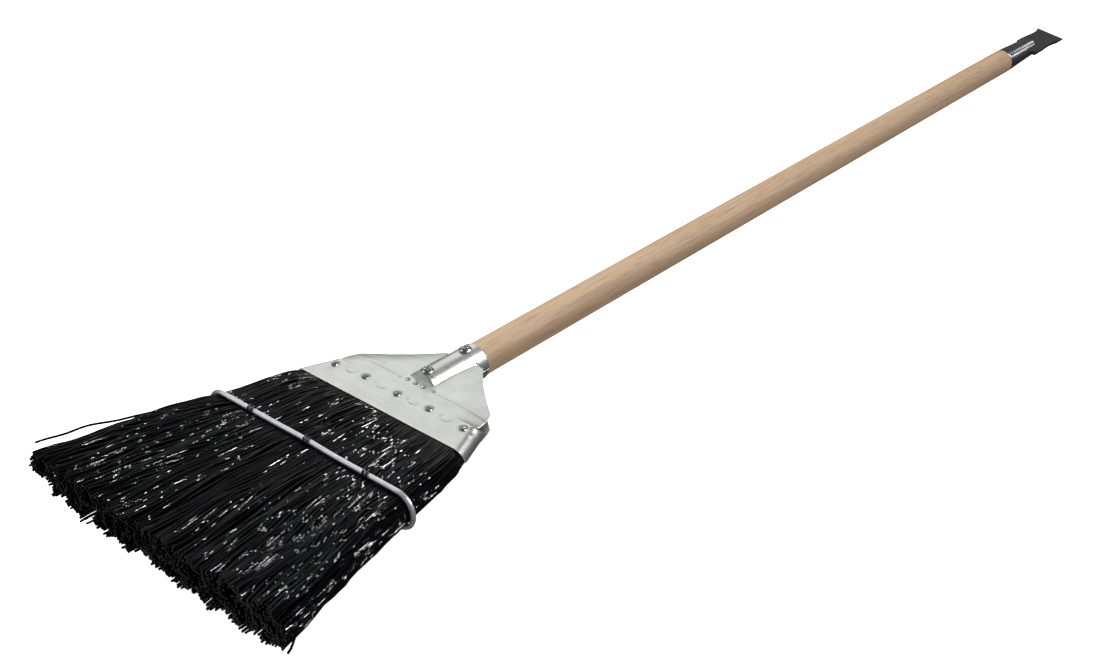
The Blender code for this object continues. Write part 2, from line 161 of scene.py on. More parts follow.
# Studio: lamps as (centre, direction, distance, size, radiance), in metres
FLOOR_Z = -0.055
HEAD = ORIGIN + Vector((-0.10, 0, 0))
CAP = ORIGIN + Vector((0.04, 0, 0))
FAR = Vector((0.6, 0, 0))
SOFTBOXES = {
    "softbox": (CAP, (0.59, 0.60, 0.50), 2.6, (1.9, 1.7), 1.08),
    "left_softbox": (HEAD, (-0.25, 0.65, 0.73), 2.6, (1.5, 0.9), 1.5),
    "low_softbox": (CAP, (-0.74, 0.62, 0.14), 2.2, (1.3, 0.7), 1.0),
    "far_left": (FAR, (0.875, -0.10, 0.285), 1.7, (0.16, 0.3), 4.5),
    "far_right": (FAR, (0.88, -0.36, 0.24), 1.7, (0.16, 0.3), 4.5),
}
STRIPS = {
    "strip": (HEAD, (0.69, -0.47, 0.55), 3.0, (1.1, 0.023), 620.0),
    "second_strip": (HEAD, (0.27, -0.66, 0.70), 3.0, (1.1, 0.023), 680.0),
}
# Grey of the sky that steel mirrors, from straight down (0) over the horizon (0.5) upwards
SKY = ((0.30, 0.04), (0.48, 0.07), (0.53, 0.13), (0.68, 0.11))
# Yaw, pitch and roll in degrees, and the place from ORIGIN in metres
CAMERA_TURN = (39.48, 30.35, 1.52)
CAMERA_PLACE = (-0.6582, -0.70665, 0.63892)
CAMERA_LENS = 50.12


# ---- materials


class Nodes:
    """A material's node tree with short calls for the nodes that these materials share."""

    def __init__(self, name):
        self.material = bpy.data.materials.new(name)
        self.material.use_nodes = True
        self.tree = self.material.node_tree
        self.shader = self.tree.nodes["Principled BSDF"]
        self.place = self.tree.nodes.new("ShaderNodeTexCoord").outputs["Object"]

    def link(self, source, target):
        self.tree.links.new(source, target)

    def feed(self, name, source):
        """Links the source to that input of the shader."""
        self.link(source, self.shader.inputs[name])

    def set(self, **values):
        for name, value in values.items():
            self.shader.inputs[name.replace("_", " ")].default_value = value

    def stretched(self, scale, turn):
        node = self.tree.nodes.new("ShaderNodeMapping")
        node.inputs["Scale"].default_value = scale
        node.inputs["Rotation"].default_value = turn
        self.link(self.place, node.inputs["Vector"])
        return node.outputs["Vector"]

    def noise(self, vector, scale, detail, roughness, distortion=0.0):
        node = self.tree.nodes.new("ShaderNodeTexNoise")
        node.inputs["Scale"].default_value = scale
        node.inputs["Detail"].default_value = detail
        node.inputs["Roughness"].default_value = roughness
        node.inputs["Distortion"].default_value = distortion
        self.link(vector, node.inputs["Vector"])
        return node.outputs["Fac"]

    def grain(self, stretch, detail, roughness, distortion=0.0, turn=(0, 0, 0)):
        """Noise with that many waves per metre along each axis."""
        return self.noise(self.stretched(stretch, turn), 1.0, detail, roughness, distortion)

    def ramp(self, source, *stops):
        """stops are (position, colour or grey value)."""
        node = self.tree.nodes.new("ShaderNodeValToRGB")
        elements = node.color_ramp.elements
        while len(elements) < len(stops):
            elements.new(0.5)
        for element, (position, colour) in zip(elements, stops):
            element.position = position
            element.color = (*colour, 1) if isinstance(colour, tuple) else (colour, colour, colour, 1)
        self.link(source, node.inputs["Fac"])
        return node.outputs["Color"]

    def mix(self, share, first, second, blend="MIX"):
        node = self.tree.nodes.new("ShaderNodeMix")
        node.data_type = "RGBA"
        node.blend_type = blend
        used = {socket.name: socket for socket in reversed(node.inputs) if socket.enabled}
        used["Factor"].default_value = share
        self.link(first, used["A"])
        self.link(second, used["B"])
        return next(socket for socket in node.outputs if socket.enabled)

    def bump(self, height, strength, distance):
        node = self.tree.nodes.new("ShaderNodeBump")
        node.inputs["Strength"].default_value = strength
        node.inputs["Distance"].default_value = distance
        self.link(height, node.inputs["Height"])
        self.feed("Normal", node.outputs["Normal"])


def wood_material():
    """Pale open-grained hardwood: long soft bands, and short dark pores along the grain."""
    m = Nodes("handle_wood")
    bands = m.grain((2.2, 60, 60), 4.0, 0.6, 0.4)
    fibres = m.grain((9, 420, 420), 3.0, 0.6)
    pores = m.grain((42, 1100, 1100), 2.0, 0.5)
    figure = m.grain((3.0, 34, 34), 2.0, 0.5, 0.8)
    tone = m.ramp(bands, (0.30, (0.415, 0.270, 0.160)), (0.50, (0.490, 0.330, 0.202)),
                  (0.72, (0.560, 0.395, 0.250)))
    fine = m.ramp(fibres, (0.36, 0.88), (0.56, 1.0), (0.70, 1.03))
    pored = m.ramp(pores, (0.34, (0.66, 0.52, 0.42)), (0.42, 1.0))
    streak = m.ramp(figure, (0.62, 1.0), (0.74, (0.86, 0.72, 0.62)))
    colour = m.mix(1.0, tone, fine, "MULTIPLY")
    colour = m.mix(0.6, colour, pored, "MULTIPLY")
    colour = m.mix(0.5, colour, streak, "MULTIPLY")
    m.feed("Base Color", colour)
    m.feed("Roughness", m.ramp(fibres, (0.3, 0.68), (0.7, 0.52)))
    m.bump(m.mix(0.5, fibres, pored, "MULTIPLY"), 0.35, 0.0004)
    m.set(Specular_IOR_Level=0.35)
    return m.material


def galvanised_material():
    """Satin zinc-coated sheet: a soft cloudy tone, fine rolling lines, and a few darker scuffs."""
    m = Nodes("cap_zinc")
    cloud = m.grain((60, 60, 60), 4.0, 0.6)
    rolled = m.grain((900, 60, 900), 3.0, 0.6)
    scuff = m.grain((60, 420, 200), 4.0, 0.6, 1.5, (0, 0, 0.5))
    tone = m.ramp(cloud, (0.3, (0.55, 0.57, 0.53)), (0.7, (0.63, 0.65, 0.61)))
    scuffs = m.ramp(scuff, (0.29, 0.62), (0.35, 1.0))
    colour = m.mix(0.8, tone, scuffs, "MULTIPLY")
    m.feed("Base Color", colour)
    m.feed("Roughness", m.ramp(rolled, (0.3, 0.26), (0.7, 0.40)))
    m.bump(m.mix(0.5, rolled, cloud), 0.14, 0.0003)
    m.set(Metallic=0.82)
    return m.material


def cut_edge_highlight_material():
    """The sheared edge of the sheet, matte from the shears, painted pale cream and brighter than the zinc: a
    painted highlight.
    """
    m = Nodes("cap_cut_edge_painted_highlight")
    grain = m.noise(m.place, 1500.0, 2.0, 0.6)
    m.feed("Base Color", m.ramp(grain, (0.3, (0.66, 0.64, 0.56)), (0.7, (0.82, 0.79, 0.70))))
    m.set(Metallic=0.15, Roughness=0.5)
    return m.material


def steel_material(name, tones, roughness, metallic=1.0, line_scale=(40, 900, 900)):
    """Drawn or turned steel: fine lines along X and a slow change of tone."""
    m = Nodes(name)
    lines = m.grain(line_scale, 3.0, 0.6)
    cloud = m.noise(m.place, 90.0, 3.0, 0.6)
    m.feed("Base Color", m.ramp(cloud, (0.3, tones[0]), (0.7, tones[1])))
    m.feed("Roughness", m.ramp(lines, (0.3, roughness[0]), (0.7, roughness[1])))
    m.bump(lines, 0.05, 0.0002)
    m.set(Metallic=metallic)
    return m.material


def blade_material():
    """Black-painted steel, rubbed at random into slightly greyer patches."""
    m = Nodes("blade_black")
    grain = m.noise(m.place, 1400.0, 3.0, 0.6)
    worn = m.grain((120, 260, 260), 4.0, 0.6)
    m.feed("Base Color", m.ramp(worn, (0.35, (0.026, 0.024, 0.026)), (0.75, (0.046, 0.044, 0.046))))
    m.feed("Roughness", m.ramp(grain, (0.3, 0.42), (0.7, 0.62)))
    m.bump(grain, 0.25, 0.0002)
    m.set(Metallic=0.25)
    return m.material


def bristle_material():
    """Glossy black drawn plastic, a little duller in places."""
    m = Nodes("bristle_black")
    drag = m.grain((60, 2600, 2600), 2.0, 0.6)
    cloud = m.grain((30, 500, 500), 2.0, 0.6)
    m.feed("Base Color", m.ramp(cloud, (0.3, (0.0022, 0.0022, 0.0028)), (0.7, (0.0045, 0.0045, 0.0055))))
    m.feed("Roughness", m.ramp(drag, (0.3, 0.03), (0.7, 0.05)))
    m.set(IOR=1.28)
    return m.material


def bristle_end_material():
    """The cut face of a bristle: matte, and greyer than its side."""
    m = Nodes("bristle_cut")
    grain = m.noise(m.place, 2500.0, 2.0, 0.6)
    m.feed("Base Color", m.ramp(grain, (0.3, (0.020, 0.020, 0.021)), (0.7, (0.040, 0.040, 0.042))))
    m.set(Roughness=0.55, Specular_IOR_Level=0.4)
    return m.material


# ---- mesh helpers


def to_row(bm):
    bmesh.ops.transform(bm, matrix=Matrix.Translation(ORIGIN) @ Matrix.Scale(MM, 4), verts=bm.verts)


def mesh_of(name, bm):
    """A mesh made of the bmesh, which this frees."""
    mesh = bpy.data.meshes.new(name)
    bm.to_mesh(mesh)
    bm.free()
    return mesh


def linked(name, data):
    """A new object of this data, in the scene."""
    made = bpy.data.objects.new(name, data)
    bpy.context.scene.collection.objects.link(made)
    return made


def shade(mesh, sharp):
    """Shades the mesh smooth, apart from edges sharper than this many degrees."""
    mesh.shade_smooth()
    mesh.set_sharp_from_angle(angle=math.radians(sharp))


def finished_object(name, bm, *looks, sharp=40.0):
    """A smooth-shaded object in the row frame, from a bmesh in the broom's millimetres."""
    to_row(bm)
    mesh = mesh_of(name, bm)
    shade(mesh, sharp)
    for look in looks:
        mesh.materials.append(look)
    return linked(name, mesh)


def cut_away(piece, cutter, sharp):
    """Takes the cutter's shape out of the piece and removes the cutter."""
    cut = piece.modifiers.new("cut", "BOOLEAN")
    cut.object = cutter
    cut.solver = "EXACT"
    graph = bpy.context.evaluated_depsgraph_get()
    made = bpy.data.meshes.new_from_object(piece.evaluated_get(graph))
    piece.modifiers.clear()
    piece.data = made
    bpy.data.objects.remove(cutter)
    shade(made, sharp)


def dress(piece, slot, *nodes, body="broom"):
    """Rides on a body and stands for its CAD nodes, which it hides; slot is not used."""
    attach(piece, body)
    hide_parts(*nodes)


def turned_bmesh(profile, steps):
    """The solid of revolution round X of (x, radius) points that start and end on the axis."""
    bm = bmesh.new()
    rings = []
    for x, radius in profile:
        if radius < 1e-6:
            rings.append([bm.verts.new((x, 0, 0))])
            continue
        angles = [math.tau * i / steps for i in range(steps)]
        rings.append([bm.verts.new((x, radius * math.sin(a), radius * math.cos(a))) for a in angles])
    for low, high in zip(rings, rings[1:]):
        for i in range(steps):
            j = (i + 1) % steps
            corners = [low[i % len(low)], low[j % len(low)], high[j % len(high)], high[i % len(high)]]
            bm.faces.new(list(dict.fromkeys(corners)))
    bmesh.ops.recalc_face_normals(bm, faces=bm.faces)
    return bm


def skin(bm, rings, closed=False):
    """Faces from each ring of vertices to the next, and over both ends unless the shape is closed."""
    for near, far in zip(rings, rings[1:]):
        for i in range(len(near)):
            j = (i + 1) % len(near)
            bm.faces.new((near[i], near[j], far[j], far[i]))
    if not closed:
        bm.faces.new(rings[0])
        bm.faces.new(rings[-1])
    bmesh.ops.recalc_face_normals(bm, faces=bm.faces)


def rounded_profile(points, radius, steps=4):
    """The (x, radius) outline with each inner corner replaced by a short curve."""
    out = [points[0]]
    for before, corner, after in zip(points, points[1:], points[2:]):
        here = Vector(corner)
        first = Vector(before) - here
        second = Vector(after) - here
        cut = min(radius, first.length * 0.45, second.length * 0.45)
        start = here + first.normalized() * cut
        end = here + second.normalized() * cut
        for i in range(steps + 1):
            t = i / steps
            out.append(tuple((1 - t) ** 2 * start + 2 * t * (1 - t) * here + t * t * end))
    out.append(points[-1])
    return out


def turn_upright(bm):
    """Turns a shape made round X so that it stands round Z."""
    bmesh.ops.rotate(bm, matrix=Matrix.Rotation(math.radians(-90), 3, "Y"), verts=bm.verts)


def tube_bmesh(path, radius, sides=12, closed=False):
    """A round wire along a path, with rings carried from one point to the next without twist."""
    points = [Vector(p) for p in path]
    count = len(points)
    bm = bmesh.new()
    rings = []
    normal = None
    for i, point in enumerate(points):
        before = points[(i - 1) % count] if closed or i > 0 else point
        after = points[(i + 1) % count] if closed or i < count - 1 else point
        tangent = (after - before).normalized()
        if normal is None:
            normal = tangent.orthogonal()
        normal = (normal - tangent * normal.dot(tangent)).normalized()
        side = tangent.cross(normal)
        turns = [math.tau * k / sides for k in range(sides)]
        spokes = [normal * math.cos(a) + side * math.sin(a) for a in turns]
        rings.append([bm.verts.new(point + radius * spoke) for spoke in spokes])
    if closed:
        rings.append(best_start(rings[0], rings[-1]))
    skin(bm, rings, closed)
    return bm


def best_start(ring, neighbour):
    """The ring's vertices in order, starting at the one nearest the neighbour's first."""
    start = min(range(len(ring)), key=lambda k: (ring[k].co - neighbour[0].co).length)
    return ring[start:] + ring[:start]


def arc(centre, radius, start, end, count):
    """Points of an arc in a plane, angles in degrees."""
    angles = [math.radians(start + (end - start) * i / count) for i in range(count + 1)]
    return [(centre[0] + radius * math.cos(a), centre[1] + radius * math.sin(a)) for a in angles]


def smooth_step(low, high, value):
    t = np.clip((value - low) / (high - low), 0, 1)
    return t * t * (3 - 2 * t)


# ---- cap


def skirt_half_width(x):
    """Half-width over the side walls."""
    return MOUTH_HALF_WIDTH - SIDE_TAPER * x


def plate_edge(x):
    """Half-width of the flat plate: to the side wall's bend, then the free edge of ear and shoulder."""
    (corner_x, corner_y), (top_x, top_y) = SHOULDER_CORNER, SHOULDER_TOP
    if x <= NOTCH_X:
        return skirt_half_width(x) - FACE
    if x <= corner_x:
        return float(np.interp(x, EAR_X, EAR_HALF_WIDTH))
    share = (x - corner_x) / (top_x - corner_x)
    straight = corner_y + (top_y - corner_y) * share
    middle = math.sin(math.pi * share)
    return straight - 2.6 * middle + 0.18 * math.sin(x * 0.55) * middle


def edge_drop(x, y):
    """How far the sheet is bent down near its free edge: lightly at the ears, more along the shoulders."""
    share = float(np.interp(x, (NOTCH_X, CREASE_X, SHOULDER_CORNER[0]), (0, 0.4, 1)))
    depth = EAR_DROP + (SHOULDER_DROPS[0 if y > 0 else 1] - EAR_DROP) * share
    inset = (plate_edge(x) - abs(y)) * 0.7
    return depth * max(0.0, 1 - inset / (12 + 12 * share)) ** 1.7


def bump_share(x):
    """How far the tunnel has risen: an abrupt rounded step at its lower end."""
    return float(smooth_step(*BUMP_RISE, x))


def plate_height(x, y, marks):
    """Height of the sheet's outer face; marks adds the nails' dimples and the pressed marks."""
    side = abs(y)
    plate = FACE - (edge_drop(x, y) if x > NOTCH_X else 0)
    plate += 0.10 * math.sin(x * 0.11 + 0.6) * math.sin(y * 0.075 + 1.1)
    plate -= 0.30 * math.exp(-((x - CREASE_X) / 0.8) ** 2) * float(smooth_step(15, 24, side))
    height = plate
    if x >= BUMP_START:
        tunnel = math.sqrt(max(0, TUNNEL_RADIUS ** 2 - side ** 2))
        tunnel = plate + (tunnel - plate) * bump_share(x)
        root = 0.9 * bump_share(x)
        height = 0.5 * (plate + tunnel + math.sqrt((plate - tunnel) ** 2 + root ** 2)) - root * 0.12
    return height + (face_marks(x, y) if marks else 0)


def face_marks(x, y):
    """Dimples round the nails, curved dents between them, and punch marks and a fold by the tunnel."""
    total = 0.0
    for nail_x, nail_y in NAIL_PLACES:
        r = math.hypot(x - nail_x, y - nail_y)
        if r < 9:
            total -= 0.7 * math.exp(-(r / 3.6) ** 4) - 0.15 * math.exp(-((r - 5.4) / 1.0) ** 2)
    for mark_x, mark_y, depth in PUNCH_MARKS:
        r = math.hypot((x - mark_x) * 0.85, y - mark_y)
        if r < 5:
            total -= depth * (1.3 * math.exp(-(r / 1.6) ** 2) - 0.25 * math.exp(-((r - 2.3) / 0.7) ** 2))
    for (_, low_y), (_, high_y) in zip(NAIL_PLACES, NAIL_PLACES[1:]):
        dx = x - (NAIL_X + 1.5)
        dy = y - (low_y + high_y) / 2
        r = math.hypot(dx * 1.3, dy)
        if r < 9 and dx < 3.0:
            total -= 0.32 * math.exp(-((r - 5.2) / 0.8) ** 2) * float(smooth_step(2.8, 0.4, dx))
    fold = math.hypot((x - 45.0) * 0.9, y + 17.2)
    total += 0.7 * math.exp(-(fold / 1.4) ** 2)
    return total


def cap_stations():
    """Places along the cap where its section is drawn, closer at the nails and at the tunnel's end."""
    fine = list(np.arange(0, TUNNEL_END, 1.0)) + list(np.arange(17.5, 48, 1.0))
    special = [NOTCH_X - 0.02, NOTCH_X + 0.02, CREASE_X]
    special += [SHOULDER_TOP[0] - 0.01, SHOULDER_TOP[0], TUNNEL_END - 0.01]
    mouth = [0.35, RIM]
    steps = list(np.arange(48.8, 51.8, 0.25))
    return sorted(set(round(v, 3) for v in fine + special + mouth + steps))


def side_wall(x, seam, top, inset, slant):
    """The rounded side from the face down to the seam, which reaches further up the handle lower down."""
    points = []
    for i in range(17):
        angle = 90 + (seam - 90) * i / 16
        low = (90 - angle) / 115
        along = x * (1 + 16.5 / NOTCH_X * low ** 2) + slant * low ** 2 * (1 - x / NOTCH_X)
        centre = skirt_half_width(along) - FACE - inset * low
        turn = math.radians(angle)
        out = FACE * (math.cos(turn) if angle > 0 else 1)
        points.append((along, centre + out, (top if angle > 0 else FACE) * math.sin(turn)))
    return points


def cap_sheet_bmesh(marks, seam_z):
    """The pressed sheet as a surface facing up, with both halves."""
    rows = {x: {side: cap_row(x, side, marks, seam_z) for side in (1, -1)} for x in cap_stations()}
    bm = bmesh.new()
    stations = sorted(rows)
    for x, next_x in zip(stations, stations[1:]):
        for side in (1, -1):
            row, next_row = rows[x][side], rows[next_x][side]
            for zone in ("bump", "flat", "side", "tube"):
                if zone in row and zone in next_row:
                    add_strip(bm, row[zone], next_row[zone], side)
    bmesh.ops.remove_doubles(bm, verts=bm.verts, dist=2e-3)
    return bm


def cap_row(x, side, marks, seam_z):
    """Half of the section at x: zones of (x, y, z) points, from the middle outwards."""
    foot = math.degrees(math.asin(FACE / TUNNEL_RADIUS))
    bump_y = [p[0] for p in arc((0, 0), TUNNEL_RADIUS, 90, foot, 18)]
    inner, outer = bump_y[-1], plate_edge(x)
    if x >= SHOULDER_TOP[0]:
        bump = [(x, side * y, math.sqrt(TUNNEL_RADIUS ** 2 - y ** 2)) for y in bump_y]
        bow = arc((0, 0), TUNNEL_RADIUS, foot, 1.5, 10)
        return {"bump": bump, "tube": [(x, side * y, z) for y, z in bow]}
    flat_y = [inner + (outer - inner) * i / FLAT_STEPS for i in range(FLAT_STEPS + 1)]
    row = {"bump": [(x, side * y, plate_height(x, side * y, marks)) for y in bump_y],
           "flat": [(x, side * y, plate_height(x, side * y, marks)) for y in flat_y]}
    if x < NOTCH_X:
        seam = math.degrees(math.asin(seam_z / FACE))
        inset, slant = (0, 6) if marks else (1.5, 3)
        wall = side_wall(x, seam, row["flat"][-1][2], inset, slant)
        row["side"] = [(px, side * py, pz) for px, py, pz in wall]
    return row


def add_strip(bm, near, far, side):
    for a, b, c, d in zip(near, near[1:], far[1:], far):
        face = [bm.verts.new(p) for p in ((a, b, c, d) if side < 0 else (d, c, b, a))]
        bm.faces.new(face)


def pierce(bm):
    """Opens the sheet at the bottom of each punch mark."""
    holes = []
    for face in bm.faces:
        centre = face.calc_center_median()
        for x, y, depth in PUNCH_MARKS:
            if math.hypot(centre.x - x, centre.y - y) < PUNCH_RADIUS * depth ** 0.5:
                holes.append(face)
    bmesh.ops.delete(bm, geom=holes, context="FACES")


def build_cap_sheet(name, node, look, edge_highlight_look, front):
    """The front or the back half of the cap; only the front one has the marks."""
    bm = cap_sheet_bmesh(front, SEAM_Z + 0.15 if front else -SEAM_Z + 0.15)
    bmesh.ops.dissolve_degenerate(bm, edges=bm.edges, dist=1e-3)
    if front:
        pierce(bm)
    else:
        bmesh.ops.scale(bm, vec=(1, 1, -1), verts=bm.verts)
        bmesh.ops.reverse_faces(bm, faces=bm.faces)
    for face in bm.faces:
        # Faces within RIM of the mouth, and every rim of the thickened sheet, take the pale edge colour: a
        # painted highlight along the edges
        face.material_index = int(max(vert.co.x for vert in face.verts) < RIM + 0.01)
    sheet = finished_object(name, bm, look, edge_highlight_look, sharp=50)
    thicken = sheet.modifiers.new("sheet thickness", "SOLIDIFY")
    thicken.thickness = SHEET * MM
    thicken.offset = -1
    thicken.use_quality_normals = True
    thicken.material_offset_rim = 1
    dress(sheet, "galvanised", node)
    return sheet


# ---- fasteners


def build_screws(look):
    """Truss-head screws with a pressed cross recess."""
    under = TUNNEL_RADIUS + 0.3
    head = 5.4
    outline = [(under - 14, 0), (under - 10, 2.0), (under, 2.0), (under, head - 0.3),
               (under + 0.35, head), (under + 0.9, head - 0.15), (under + 1.9, head * 0.74),
               (under + 2.55, head * 0.4), (under + 2.7, 0)]
    for number, (label, x) in enumerate(zip(("lower", "upper"), SCREW_X)):
        bm = turned_bmesh(rounded_profile(outline, 0.5), 48)
        turn_upright(bm)
        screw = finished_object("screw_" + label, bm, look, sharp=45)
        cut_away(screw, recess_cutter(under + 2.7), sharp=40)
        spin = Matrix.Rotation(math.radians(20 + 35 * number), 4, "Z")
        move = Matrix.Translation(Vector((x * MM, 0, 0)))
        centre = Matrix.Translation(ORIGIN)
        screw.data.transform(centre @ move @ spin @ centre.inverted())
        dress(screw, "bright_steel", "cap_screw_" + label)


def recess_cutter(top):
    """A cross that narrows downwards, as one closed star-shaped prism."""
    bm = bmesh.new()
    rings = []
    for z, arm, half in ((top - 1.7, 1.1, 0.34), (top - 1.1, 2.1, 0.42), (top + 0.8, 2.9, 0.6)):
        ring = []
        for quarter in range(4):
            turn = Matrix.Rotation(math.radians(90 * quarter), 2)
            for x, y in ((arm, -half), (arm, half), (half * 1.5, half * 1.5)):
                px, py = turn @ Vector((x, y))
                ring.append(bm.verts.new((px, py, z)))
        rings.append(ring)
    skin(bm, rings)
    to_row(bm)
    return linked("recess", mesh_of("recess", bm))


def build_nails(look, rng):
    """Hammered dome heads, each dented its own way, with the tail bent over behind."""
    top = FACE + 0.05
    head = 2.95
    tail_z = -FACE - 1.5
    outline = [(tail_z, 0), (tail_z, 1.1), (top - 0.9, 1.1), (top - 0.9, head), (top - 0.35, head + 0.1),
               (top + 0.45, head * 0.8), (top + 0.85, head * 0.4), (top + 0.9, 0)]
    for number, (x, y) in enumerate(NAIL_PLACES, 1):
        bm = turned_bmesh(rounded_profile(outline, 0.45), 36)
        turn_upright(bm)
        dents = [(rng.uniform(-1.4, 1.4), rng.uniform(-1.4, 1.4), rng.uniform(0.5, 1.0)) for _ in range(3)]
        head_edges = [edge for edge in bm.edges if all(vert.co.z > top - 1 for vert in edge.verts)]
        bmesh.ops.subdivide_edges(bm, edges=head_edges, cuts=1, use_grid_fill=True)
        for vert in bm.verts:
            if vert.co.z < top - 1:
                continue
            for dx, dy, depth in dents:
                r = math.hypot(vert.co.x - dx, vert.co.y - dy)
                vert.co.z -= 0.9 * depth * math.exp(-(r / 0.8) ** 2)
        bmesh.ops.translate(bm, vec=(x, y, 0), verts=bm.verts)
        merge_bmesh(bm, clinched_tail(number, x, y, tail_z))
        nail = finished_object("nail_%d" % number, bm, look, sharp=50)
        dress(nail, "bright_steel", "cap_nail_%d" % number)


def clinched_tail(number, x, y, z):
    turn = math.radians(15 * (-1) ** number)
    steps = [(0, 0.9), (1.1, 0.0), (2.6, -0.1), (4.5, 0), (6.5, 0.1)]
    path = [(x + s * math.cos(turn), y + s * math.sin(turn), z + rise * 0.8) for s, rise in steps]
    return tube_bmesh(path, 1.05, 14)


def merge_bmesh(bm, other):
    scratch = mesh_of("scratch", other)
    bm.from_mesh(scratch)
    bpy.data.meshes.remove(scratch)


# ---- handle, ferrule and blade


def build_handle(look):
    """The dowel: a chamfered foot inside the tunnel, a shoulder at the ferrule and the tenon inside it."""
    stations = np.linspace(HANDLE_START + 3, FERRULE_START - 2, 80)
    profile = [(HANDLE_START, 0), (HANDLE_START, HANDLE_RADIUS - 1.6), (HANDLE_START + 1.6, HANDLE_RADIUS)]
    profile += [(float(x), HANDLE_RADIUS) for x in stations]
    tenon = HANDLE_RADIUS - TENON_STEP
    profile += [(FERRULE_START - 0.35, HANDLE_RADIUS), (FERRULE_START - 0.05, HANDLE_RADIUS - 0.3),
                (FERRULE_START - 0.05, tenon), (BLADE_BASE - 5, FERRULE_END_RADIUS - 1.2),
                (BLADE_BASE - 5, 0)]
    bm = turned_bmesh(profile, 72)
    for vert in bm.verts:
        x, y, z = vert.co
        if HANDLE_START + 2 < x < FERRULE_START - 1:
            angle = math.atan2(z, y)
            dent = 0.06 * math.sin(2 * angle + x * 0.004) + 0.04 * math.sin(5 * angle + x * 0.011)
            radius = 1 + (dent - 0.05) / HANDLE_RADIUS
            vert.co.y, vert.co.z = y * radius, z * radius
    handle = finished_object("wood_handle", bm, look, sharp=35)
    dress(handle, "wood", "handle")


def build_ferrule(look, pin_look):
    """The tapered steel socket, open towards the wood and slotted at its end for the blade."""
    end = FERRULE_END
    taper = (HANDLE_RADIUS - FERRULE_END_RADIUS) / (end - FERRULE_START)
    outline = [(FERRULE_START + 0.02, HANDLE_RADIUS - FERRULE_WALL), (FERRULE_START, HANDLE_RADIUS - 0.15),
               (FERRULE_START + 0.3, HANDLE_RADIUS), (end - 1.6, FERRULE_END_RADIUS + 1.6 * taper),
               (end, FERRULE_END_RADIUS - 1.7), (end, 4.0)]
    floor = end - 1.3
    profile = [(floor, 0), (floor, FERRULE_END_RADIUS - 2.4), *rounded_profile(outline, 1.0, 5), (end, 0)]
    bm = turned_bmesh(profile, 72)
    ferrule = finished_object("ferrule", bm, look, sharp=40)
    half = BLADE_THICKNESS / 2 + 0.15
    cut_away(ferrule, slot_cutter((BLADE_BASE - 0.3, -20, -half), (end + 5, 20, half)), sharp=35)
    dress(ferrule, "ferrule_steel", "chisel_ferrule")
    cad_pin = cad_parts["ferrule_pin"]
    for material_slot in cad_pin.material_slots:
        material_slot.link = "OBJECT"
        material_slot.material = pin_look


def slot_cutter(low, high):
    """A box between two corners, turned with the blade."""
    bm = bmesh.new()
    bmesh.ops.create_cube(bm, size=1)
    size = [b - a for a, b in zip(low, high)]
    centre = [(a + b) / 2 for a, b in zip(low, high)]
    bmesh.ops.scale(bm, vec=size, verts=bm.verts)
    bmesh.ops.translate(bm, vec=centre, verts=bm.verts)
    bmesh.ops.rotate(bm, matrix=Matrix.Rotation(BLADE_ROLL, 3, "X"), verts=bm.verts)
    to_row(bm)
    return linked("slot", mesh_of("slot", bm))


def build_blade(look):
    """A forged flat plate: its shoulders stand out of the slot, its neck narrows and its edge flares."""
    half = BLADE_THICKNESS / 2
    bm = bmesh.new()
    columns = 14
    rings = []
    for x in np.linspace(BLADE_BASE, BLADE_EDGE, 64):
        left, right = (float(np.interp(x, BLADE_X, widths)) for widths in (BLADE_LEFT, BLADE_RIGHT))
        bevel_x = (BLADE_EDGE - BLADE_BEVEL, BLADE_EDGE - 0.4, BLADE_EDGE)
        thick = float(np.interp(x, bevel_x, (half, 0.5, 0.35)))
        across = [-right + (left + right) * i / columns for i in range(columns + 1)]
        upper = [(x, y, thick) for y in across]
        lower = [(x, y, -thick) for y in across[::-1]]
        rings.append([bm.verts.new(p) for p in upper + lower])
    skin(bm, rings)
    bmesh.ops.rotate(bm, matrix=Matrix.Rotation(BLADE_ROLL, 3, "X"), verts=bm.verts)
    blade = finished_object("scraper_blade", bm, look, sharp=30)
    bevel = blade.modifiers.new("worn corners", "BEVEL")
    bevel.width = 0.35 * MM
    bevel.segments = 3
    bevel.limit_method = "ANGLE"
    dress(blade, "blade_steel", "chisel_blade")


# ---- band and ties


def band_path():
    """Round the bristles: nearly straight long sides, sprung in a little between the ties, and round ends."""
    centre = BAND_HALF_WIDTH - BAND_HALF_THICKNESS
    long_side = np.linspace(-centre, centre, 60)[1:-1]
    right = arc((centre, 0), BAND_HALF_THICKNESS, -90, 90, 18)
    left = arc((-centre, 0), BAND_HALF_THICKNESS, 90, 270, 18)
    path = []
    for y, z in right + [(y, BAND_HALF_THICKNESS) for y in long_side[::-1]] + left:
        path.append((BAND_X, y, z))
    path += [(BAND_X, y, -BAND_HALF_THICKNESS) for y in long_side]
    wavy = []
    for x, y, z in path:
        calm = max(0.0, 1 - abs(y) / centre)
        sag = 0.35 * math.sin(math.pi * (y / TIE_PITCH)) ** 2 * calm
        drift = 0.5 * math.sin(y * 0.045 + (1 if z > 0 else 3)) * calm
        wavy.append((x + drift, y, z - math.copysign(sag, z)))
    return wavy


def build_band(look, tie_look):
    band = finished_object("band", tube_bmesh(band_path(), BAND_WIRE, 20, closed=True), look)
    dress(band, "band_wire", "wire_band")
    for label, y in (("left", TIE_PITCH), ("middle", 0.0), ("right", -TIE_PITCH)):
        tie = finished_object("tie_" + label, tie_bmesh(y), tie_look)
        dress(tie, "dark_wire", "band_tie_" + label)


